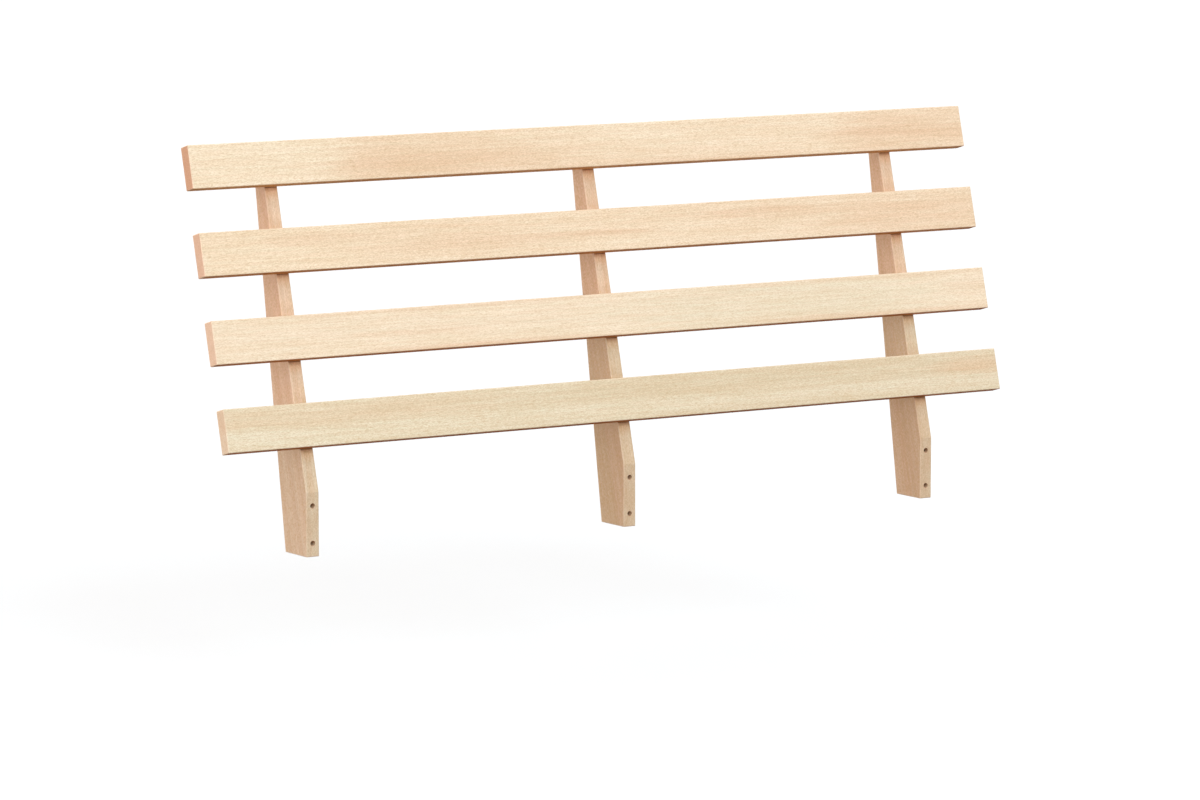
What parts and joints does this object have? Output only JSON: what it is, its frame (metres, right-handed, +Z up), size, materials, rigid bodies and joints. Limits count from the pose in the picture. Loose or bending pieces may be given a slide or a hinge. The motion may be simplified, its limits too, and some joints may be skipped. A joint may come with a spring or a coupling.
{
  "type": "slatted headboard",
  "caption": "Slatted solid beech headboard: wide flat horizontal slats on the front of raked, tapering posts whose upright feet bolt to the outside of a bed's head rail.",
  "frame": {"origin": "centre of the four bed bolt holes in the outer feet, on the upright faces that meet the bed's rail", "axes": "+X along the slats to the right as seen from the bed, +Y back to the wall, +Z up; the top leans back to +Y"},
  "size_m": [1.6, 0.1828, 0.6956],
  "materials": {
    "beech": "pale beech, planed and oiled, satin",
    "zinc_steel": "bright zinc-plated steel"
  },
  "bodies": {
    "root": {"bottom_slat": "beech", "lower_slat": "beech", "upper_slat": "beech", "top_slat": "beech", "left_post": "beech", "left_post_screws": "zinc_steel", "middle_post": "beech", "middle_post_screws": "zinc_steel", "right_post": "beech", "right_post_screws": "zinc_steel"}
  },
  "joints": []
}
